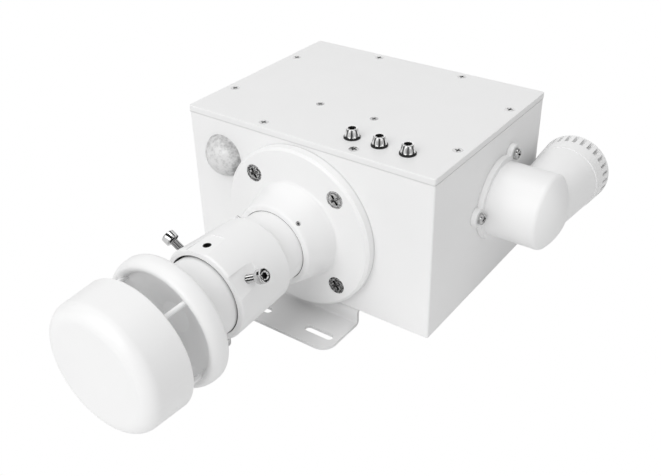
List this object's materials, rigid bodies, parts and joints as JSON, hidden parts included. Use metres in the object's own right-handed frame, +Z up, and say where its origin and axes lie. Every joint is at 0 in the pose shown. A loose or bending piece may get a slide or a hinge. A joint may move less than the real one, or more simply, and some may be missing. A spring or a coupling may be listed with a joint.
{
  "type": "compact weather station",
  "caption": "Compact weather station: screwed sensor box with a clamped side wind head, elbow air inlet, light sensor dome and status lights, on a slotted bracket.",
  "frame": {"origin": "centre of the bracket's slot pattern, on the surface that the bracket stands on", "axes": "+Z up, +Y from the wind head's side to the cable gland's side, +X towards the air inlet"},
  "size_m": [0.197, 0.2857, 0.1064],
  "materials": {
    "white_plastic": "satin",
    "white_painted_steel": "satin",
    "frosted_plastic": "frosted",
    "seal_rubber": "matte",
    "black_rubber": "matte",
    "dark_steel": "semi-gloss",
    "bright_metal": "satin",
    "chromed_steel": "polished",
    "dark_lens": "gloss",
    "transducer_metal": "satin",
    "circuit_board": "semi-gloss",
    "green_plastic": "satin",
    "blue_grey_metal": "satin",
    "black_plastic": "satin",
    "light_grey_nylon": "satin"
  },
  "bodies": {
    "station": {"bezel_nuts": "bright_metal", "bezel_seals": "black_rubber", "board_screws": "dark_steel", "board_spacers": "bright_metal", "bracket_screws": "dark_steel", "centre_screws": "bright_metal", "clamp_collar": "white_plastic", "enclosure_body": "white_plastic", "fan_frame": "black_plastic", "flange_gasket": "seal_rubber", "flange_nuts": "dark_steel", "flange_screws": "dark_steel", "gland_body": "light_grey_nylon", "gland_locknut": "light_grey_nylon", "gland_nut": "light_grey_nylon", "gland_seal": "black_rubber", "inlet_cap": "white_plastic", "inlet_elbow": "white_plastic", "inlet_gasket": "seal_rubber", "inlet_mesh": "bright_metal", "inlet_screws": "dark_steel", "led_bezel_1": "chromed_steel", "led_bezel_2": "chromed_steel", "led_bezel_3": "chromed_steel", "led_board": "circuit_board", "led_lens_1": "dark_lens", "led_lens_2": "dark_lens", "led_lens_3": "dark_lens", "lid": "white_plastic", "lid_gasket": "seal_rubber", "lid_screws": "dark_steel", "light_sensor_board": "circuit_board", "light_sensor_dome": "frosted_plastic", "main_board": "circuit_board", "mounting_bracket": "white_painted_steel", "neck_flange": "white_plastic", "neck_set_screws": "dark_steel", "neck_tube": "white_plastic", "outlet_screws": "dark_steel", "outlet_vent": "white_plastic", "particle_sensor": "blue_grey_metal", "terminal_block": "green_plastic"},
    "wind_head": {"sensor_tube": "white_plastic", "sensor_dish": "white_plastic", "sensor_cap": "white_plastic", "cap_base": "white_plastic", "sensor_head_board": "circuit_board", "cap_pillar_1": "white_plastic", "cap_pillar_2": "white_plastic", "cap_pillar_3": "white_plastic", "cap_pillar_4": "white_plastic", "transducer_1": "transducer_metal", "transducer_2": "transducer_metal", "transducer_3": "transducer_metal", "transducer_4": "transducer_metal"},
    "fan_rotor": {"fan_rotor": "black_plastic"},
    "clamp_screw_right": {"clamp_screw_right": "chromed_steel"},
    "clamp_screw_left": {"clamp_screw_left": "chromed_steel"},
    "clamp_screw_bottom": {"clamp_screw_bottom": "chromed_steel"}
  },
  "joints": [
    {"name": "head_swivel", "type": "hinge", "parent": "station", "child": "wind_head", "pos_m": [-0.0018, -0.12125, 0.05125], "axis": [0, -0.9999, -0.0105], "range_deg": [-180, 180]},
    {"name": "clamp_screw_right_travel", "type": "slide", "parent": "station", "child": "clamp_screw_right", "axis": [0.866, 0, 0.5], "range_m": [-0.00035, 0.002]},
    {"name": "clamp_screw_left_travel", "type": "slide", "parent": "station", "child": "clamp_screw_left", "axis": [-0.866, 0, 0.5], "range_m": [-0.00035, 0.002]},
    {"name": "clamp_screw_bottom_travel", "type": "slide", "parent": "station", "child": "clamp_screw_bottom", "axis": [0, 0, -1], "range_m": [-0.00035, 0.002]},
    {"name": "fan_spin", "type": "hinge", "parent": "station", "child": "fan_rotor", "pos_m": [-0.067, 0.0085, 0.06025], "axis": [1, 0, 0], "continuous": true}
  ]
}
